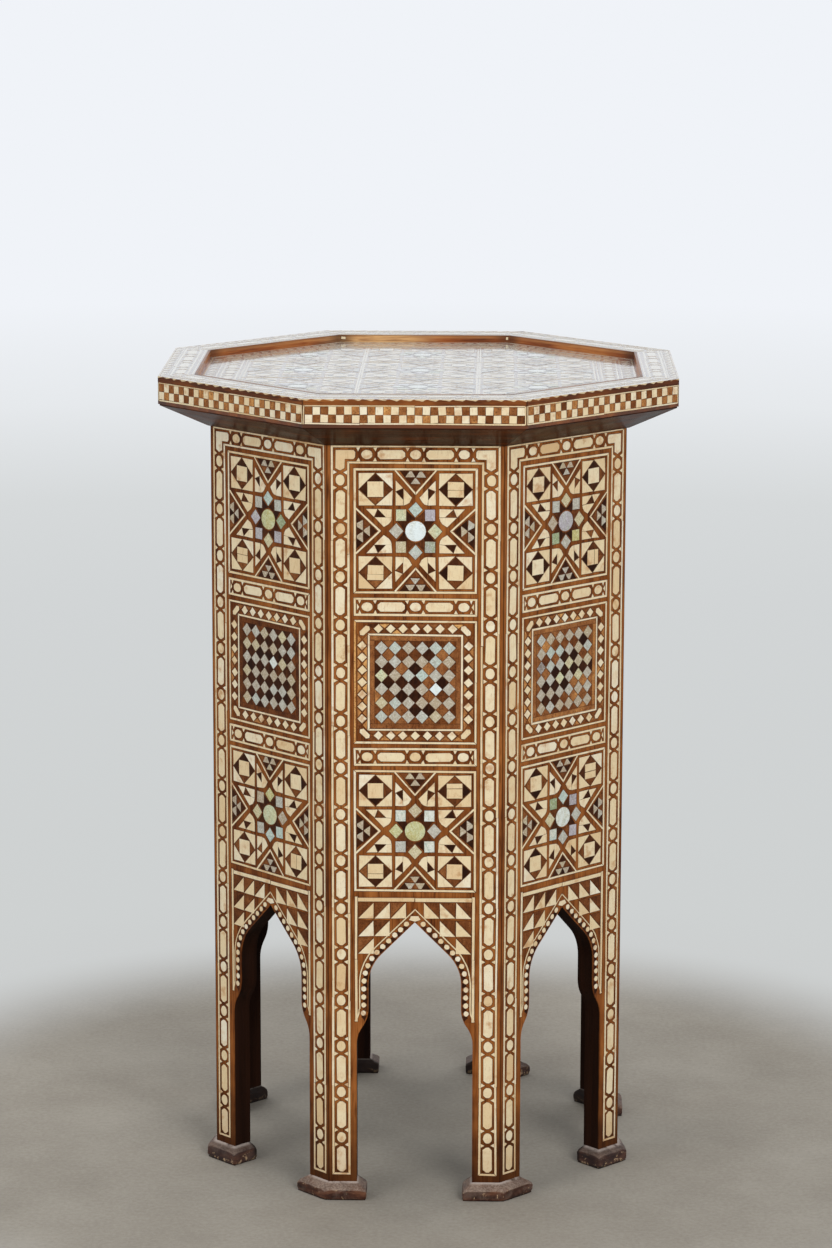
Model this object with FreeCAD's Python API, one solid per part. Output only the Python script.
import FreeCAD, Part
import math
import os

# An eight-sided inlaid side table: a shallow tray on a hollow body of eight mitred boards,
# each cut to a pointed arch between two legs, with a small chamfered foot under every corner.
# Millimetres, +Z up, the front side towards -Y, and the origin on the floor under the middle.

# Names of the eight sides, counter-clockwise seen from above
side_names = ["front", "front_right", "right", "back_right", "back", "back_left", "left", "front_left"]

# Body boards
body_across_flats = 330.0
board_thickness = 17.0
inlay_thickness = 2.0
overrun = 5.0

# Widths on the face of a side, from its corner towards its middle
corner_margin = 3.0
band_width = 14.4
fillet_width = 3.0
leg_inner_margin = 5.0

# Heights on the face of a side, from the floor up
foot_block_height = 7.5
foot_chamfer_height = 5.9
band_foot_gap = 5.6
leg_straight_height = 114.6
ogee_height = 29.0
jamb_height = 20.4
crown_margin = 21.56
tile_height = 98.5
fillet_height = 3.3
moulding_height = 19.4
arch_tile_height = 104.1

# Shape of the arch
ogee_step = 9.3
shoulder_radius = 35.0

# Feet and their dowels
foot_overhang = 8.0
dowel_diameter = 6.0
dowel_leg_length = 18.0
dowel_foot_share = 0.7

# Tray top
top_overhang = 40.0
core_thickness = 14.0
rim_height = 8.0
rim_width = 28.0
lining_thickness = 2.0
field_thickness = 2.0
rim_margin = 1.4

# Bands of squares let into the edge of the top
edge_band_height = 15.0
edge_lip_height = 2.4

# Flat faces of the moulding at its upper and lower edges
moulding_upper_flat = 1.2
moulding_lower_flat = 2.0

# Blocks glued inside the body, and the screws that hold the top
corner_block_width = 16.0
top_block_depth = 18.0
top_block_height = 18.0
top_block_length_share = 0.45
screw_shank_diameter = 4.0
screw_head_diameter = 8.0
screw_head_height = 2.5
screw_bite_share = 0.7
hole_clearance = 0.05

# Shell discs in the middle of the star tiles
disc_diameter = 16.0
disc_thickness = 1.0

# Turn from one side to the next, and how far a side runs for each unit out from the axis
side_count = len(side_names)
side_turn = 360.0 / side_count
mitre_slope = math.tan(math.pi / side_count)

# Distances out from the axis
face_out = body_across_flats / 2
board_in = face_out - board_thickness
pocket_out = face_out - inlay_thickness
top_out = face_out + top_overhang
edge_core_out = top_out - inlay_thickness
rim_in = top_out - rim_width
field_out = rim_in - lining_thickness

# Distances from the middle of a side along its face
band_outer = face_out * mitre_slope - corner_margin
band_inner = band_outer - band_width
tile_edge = band_inner - fillet_width
leg_edge = band_inner - leg_inner_margin
jamb_edge = leg_edge - ogee_step

# Heights above the floor
foot_top = foot_block_height + foot_chamfer_height
band_bottom = foot_top + band_foot_gap
ogee_bottom = foot_top + leg_straight_height
ogee_top = ogee_bottom + ogee_height
spring = ogee_top + jamb_height
shoulder_rise = shoulder_radius * math.sin(math.pi / 4)
crown_run = jamb_edge - shoulder_radius + shoulder_rise
crown = spring + shoulder_rise + crown_run
arch_tile_top = crown + crown_margin
lower_star_bottom = arch_tile_top + fillet_height
lower_band_bottom = lower_star_bottom + tile_height + fillet_height
check_bottom = lower_band_bottom + band_width + fillet_height
upper_band_bottom = check_bottom + tile_height + fillet_height
upper_star_bottom = upper_band_bottom + band_width + fillet_height
top_band_bottom = upper_star_bottom + tile_height + fillet_height
face_top = top_band_bottom + band_width
board_top = face_top + moulding_height
core_top = board_top + core_thickness
top_height = core_top + rim_height
field_top = core_top + field_thickness
edge_band_bottom = board_top + edge_lip_height
edge_band_top = edge_band_bottom + edge_band_height
top_block_bottom = board_top - top_block_height


def at(along, out, height):
    """A point on the front side: along its face, out from the axis, and above the floor."""
    return FreeCAD.Vector(along, -out, height)


def turned(shape, side):
    """A copy of a shape of the front side, turned round the axis to another side."""
    copy = shape.copy()
    copy.rotate(FreeCAD.Vector(), FreeCAD.Vector(0, 0, 1), side * side_turn)
    return copy


def all_round(shape):
    """Eight copies of a shape, one for each side."""
    return [turned(shape, side) for side in range(side_count)]


def flat_face(points):
    """A flat face with straight edges through the points."""
    return Part.Face(Part.makePolygon(points + points[:1]))


def ring_solid(rings):
    """A solid through rings of points: the first and last are closed, flat sides join them."""
    faces = [flat_face(rings[0]), flat_face(rings[-1])]
    for lower, upper in zip(rings, rings[1:]):
        for index, point in enumerate(lower):
            after = (index + 1) % len(lower)
            faces.append(flat_face([point, lower[after], upper[after], upper[index]]))
    shell = Part.makeShell(faces)
    shell.sewShape()
    solid = Part.makeSolid(shell)
    if solid.Volume < 0:
        solid.reverse()
    return solid


def mitred_bar(profile):
    """A bar along the front side with this profile of (out, height), mitred at both corners."""
    left = [at(-out * mitre_slope, out, height) for out, height in profile]
    right = [at(out * mitre_slope, out, height) for out, height in profile]
    return ring_solid([left, right])


def rectangle(low_out, high_out, low, high):
    """A rectangular profile of (out, height)."""
    return [(low_out, low), (high_out, low), (high_out, high), (low_out, high)]


def slab(left, right, low_out, high_out, low, high):
    """A square-edged block on the front side."""
    size = (right - left, high_out - low_out, high - low)
    return Part.makeBox(*size, at(left, high_out, low))


def rod(diameter, along, out, low, high):
    """An upright round rod on the front side."""
    return Part.makeCylinder(diameter / 2, high - low, at(along, out, low))


def octagon_plate(out, low, high):
    """An eight-sided plate, flat sides at this distance from the axis."""
    corner = at(out * mitre_slope, out, 0)
    turn = FreeCAD.Rotation(FreeCAD.Vector(0, 0, 1), side_turn)
    plan = [corner]
    for _ in range(side_count - 1):
        plan.append(turn.multVec(plan[-1]))
    rings = [[point + FreeCAD.Vector(0, 0, height) for point in plan] for height in (low, high)]
    return ring_solid(rings)


def chevron(end, low_out, high_out, height):
    """The ring of a bent leg or foot round the front side's right corner."""
    turn = FreeCAD.Rotation(FreeCAD.Vector(0, 0, 1), side_turn)
    near = [at(end, low_out, height), at(end, high_out, height)]
    far = [turn.multVec(at(-end, out, height)) for out in (high_out, low_out)]
    outer_corner = at(high_out * mitre_slope, high_out, height)
    inner_corner = at(low_out * mitre_slope, low_out, height)
    return near + [outer_corner] + far + [inner_corner]


# The arch between the legs

def arch_opening():
    """The space under the arch, cut right through the board and past its lower end."""
    ogee_turn = 2 * math.atan(ogee_step / ogee_height)
    ogee_radius = ogee_height / (2 * math.sin(ogee_turn))
    depth = board_in - overrun

    def ogee(centre, side, angle, height):
        return at(centre - side * ogee_radius * math.cos(angle), depth, height - side * ogee_radius * math.sin(angle))

    half_turn = ogee_turn / 2
    upper_centre = jamb_edge + ogee_radius
    lower_centre = leg_edge - ogee_radius
    foot = at(leg_edge, depth, foot_top - overrun)
    ogee_low = at(leg_edge, depth, ogee_bottom)
    ogee_low_mid = ogee(lower_centre, -1, half_turn, ogee_bottom)
    ogee_mid = ogee(lower_centre, -1, ogee_turn, ogee_bottom)
    ogee_high_mid = ogee(upper_centre, 1, half_turn, ogee_top)
    ogee_high = at(jamb_edge, depth, ogee_top)
    jamb_high = at(jamb_edge, depth, spring)
    eighth = math.pi / 8
    shoulder_centre = jamb_edge - shoulder_radius
    shoulder_mid = at(
        shoulder_centre + shoulder_radius * math.cos(eighth),
        depth,
        spring + shoulder_radius * math.sin(eighth),
    )
    shoulder_high = at(shoulder_centre + shoulder_rise, depth, spring + shoulder_rise)
    right = [
        Part.LineSegment(foot, ogee_low),
        Part.Arc(ogee_low, ogee_low_mid, ogee_mid),
        Part.Arc(ogee_mid, ogee_high_mid, ogee_high),
        Part.LineSegment(ogee_high, jamb_high),
        Part.Arc(jamb_high, shoulder_mid, shoulder_high),
        Part.LineSegment(shoulder_high, at(0, depth, crown)),
    ]
    right_wire = Part.Wire([piece.toShape() for piece in right])
    left_wire = right_wire.mirror(FreeCAD.Vector(), FreeCAD.Vector(1, 0, 0))
    sill = Part.LineSegment(foot, at(-leg_edge, depth, foot_top - overrun)).toShape()
    outline = Part.Wire(Part.__sortEdges__(right_wire.Edges + left_wire.Edges + [sill]))
    return Part.Face(outline).extrude(at(0, board_thickness + 2 * overrun, 0))


# Thin inlaid panels, each in its own pocket in the face of a board

def inlay_panel(left, right, low, high):
    return slab(left, right, pocket_out, face_out, low, high)


def face_panels():
    """The panels of one side before the arch is cut, by the name of their node."""
    panels = {
        "upright_bands": [
            inlay_panel(band_inner, band_outer, band_bottom, face_top),
            inlay_panel(-band_outer, -band_inner, band_bottom, face_top),
        ],
        "top_cross_bands": [inlay_panel(-band_inner, band_inner, top_band_bottom, face_top)],
    }
    tiles = {
        "upper_star_tiles": (upper_star_bottom, tile_height),
        "upper_cross_bands": (upper_band_bottom, band_width),
        "check_tiles": (check_bottom, tile_height),
        "lower_cross_bands": (lower_band_bottom, band_width),
        "lower_star_tiles": (lower_star_bottom, tile_height),
        "arch_tiles": (arch_tile_top - arch_tile_height, arch_tile_height),
    }
    for name, (low, height) in tiles.items():
        panels[name] = [inlay_panel(-tile_edge, tile_edge, low, low + height)]
    return panels


def star_disc(bottom, clearance):
    """The round shell disc at the middle of a star tile, or with a clearance its seat."""
    middle = bottom + tile_height / 2
    radius = disc_diameter / 2 + clearance
    seat = at(0, face_out - disc_thickness, middle)
    return Part.makeCylinder(radius, disc_thickness, seat, at(0, 1, 0))


# Boards of the body

def dowel(along, clearance):
    """One foot dowel, or with a clearance the hole for it."""
    low = foot_top - foot_top * dowel_foot_share
    middle_out = (board_in + pocket_out) / 2
    return rod(dowel_diameter + 2 * clearance, along, middle_out, low, foot_top + dowel_leg_length)


def side_board(opening, panels):
    board = mitred_bar(rectangle(board_in, face_out, foot_top, board_top))
    cuts = [opening]
    cuts += [panel for group in panels.values() for panel in group]
    cuts += [dowel(side * leg_middle, hole_clearance) for side in (-1, 1)]
    return board.cut(cuts)


# Feet

def foot():
    """One foot: a block wider than the leg all round, its top chamfered back to the leg."""
    spread = chevron(leg_edge - foot_overhang, board_in - foot_overhang, face_out + foot_overhang, 0)
    raised = [point + FreeCAD.Vector(0, 0, foot_block_height) for point in spread]
    leg = chevron(leg_edge, board_in, face_out, foot_top)
    block = ring_solid([spread, raised, leg])
    near = dowel(leg_middle, hole_clearance)
    far = turned(dowel(-leg_middle, hole_clearance), 1)
    return block.cut([near, far])


# Blocks glued inside

def corner_block():
    """A three-sided block in the corner between two boards, up to the underside of the top."""
    inner_corner = board_in * mitre_slope
    turn = FreeCAD.Rotation(FreeCAD.Vector(0, 0, 1), side_turn)
    plan = [
        at(inner_corner - corner_block_width, board_in, 0),
        at(inner_corner, board_in, 0),
        turn.multVec(at(corner_block_width - inner_corner, board_in, 0)),
    ]
    rings = [[point + FreeCAD.Vector(0, 0, height) for point in plan] for height in (arch_tile_top, board_top)]
    return ring_solid(rings)


def top_screw(clearance):
    """The screw up through a top block into the core board, or its hole."""
    middle_out = board_in - top_block_depth / 2
    tip = board_top + core_thickness * screw_bite_share
    shank = rod(screw_shank_diameter + 2 * clearance, 0, middle_out, top_block_bottom, tip)
    head_top = top_block_bottom + screw_head_height
    head = rod(screw_head_diameter + 2 * clearance, 0, middle_out, top_block_bottom, head_top)
    return shank.fuse(head).removeSplitter()


def top_block():
    half = board_in * mitre_slope * top_block_length_share
    block = slab(-half, half, board_in - top_block_depth, board_in, top_block_bottom, board_top)
    return block.cut(top_screw(hole_clearance))


# Tray top

def core_board():
    """The eight-sided board under the tray, its edge rebated for the band of squares."""
    lip = octagon_plate(top_out, board_top, edge_band_bottom)
    core = octagon_plate(edge_core_out, edge_band_bottom, core_top)
    return lip.fuse(core).cut(all_round(top_screw(hole_clearance)))


def rim_bar():
    """One side of the raised rim, rebated for the edge band and for the inlay on its top."""
    inlay_out = top_out - rim_margin
    return mitred_bar([
        (rim_in, core_top),
        (edge_core_out, core_top),
        (edge_core_out, edge_band_top),
        (top_out, edge_band_top),
        (top_out, top_height),
        (inlay_out, top_height),
        (inlay_out, top_height - inlay_thickness),
        (rim_in, top_height - inlay_thickness),
    ])


def rim_inlay():
    low = top_height - inlay_thickness
    return mitred_bar(rectangle(rim_in, top_out - rim_margin, low, top_height))


def edge_band():
    return mitred_bar(rectangle(edge_core_out, top_out, edge_band_bottom, edge_band_top))


def tray_lining():
    """The plain strip round the inside of the rim."""
    return mitred_bar(rectangle(field_out, rim_in, core_top, top_height))


def bed_moulding():
    """The bevelled bar in the corner between a board and the underside of the top."""
    return mitred_bar([
        (face_out, face_top),
        (face_out + moulding_lower_flat, face_top),
        (top_out - moulding_upper_flat, board_top - moulding_upper_flat),
        (top_out - moulding_upper_flat, board_top),
        (face_out, board_top),
    ])


# The middle of a leg, where its dowel stands
leg_middle = (leg_edge + board_in * mitre_slope) / 2

# Every node and its solids
opening = arch_opening()
panels = face_panels()
board = side_board(opening, panels)
panels["arch_tiles"] = [panels["arch_tiles"][0].cut(opening)]
for name, bottom in (("upper_star_tiles", upper_star_bottom), ("lower_star_tiles", lower_star_bottom)):
    panels[name] = [panels[name][0].cut(star_disc(bottom, hole_clearance))]

nodes = {}
for side, side_name in enumerate(side_names):
    nodes["board_" + side_name] = [turned(board, side)]
    nodes["rim_" + side_name] = [turned(rim_bar(), side)]
    nodes["moulding_" + side_name] = [turned(bed_moulding(), side)]
    nodes["foot_" + str(side + 1)] = [turned(foot(), side)]
for name, group in panels.items():
    nodes[name] = [copy for panel in group for copy in all_round(panel)]
nodes["shell_discs"] = all_round(star_disc(upper_star_bottom, 0)) + all_round(star_disc(lower_star_bottom, 0))
nodes["foot_dowels"] = all_round(dowel(leg_middle, 0)) + all_round(dowel(-leg_middle, 0))
nodes["corner_blocks"] = all_round(corner_block())
nodes["top_blocks"] = all_round(top_block())
nodes["top_screws"] = all_round(top_screw(0))
nodes["core_board"] = [core_board()]
nodes["field_panel"] = [octagon_plate(field_out, core_top, field_top)]
nodes["rim_inlays"] = all_round(rim_inlay())
nodes["tray_linings"] = all_round(tray_lining())
nodes["edge_bands"] = all_round(edge_band())

os.makedirs("parts", exist_ok=True)
for name, solids in nodes.items():
    shape = solids[0] if len(solids) == 1 else Part.makeCompound(solids)
    shape.exportStep("parts/" + name + ".step")

print("nodes", len(nodes), "solids", sum(len(solids) for solids in nodes.values()))
print("overall height", round(top_height, 2), "across flats", round(2 * top_out, 2))
print("arch crown", round(crown, 2), "face top", round(face_top, 2), "field", round(field_top, 2))
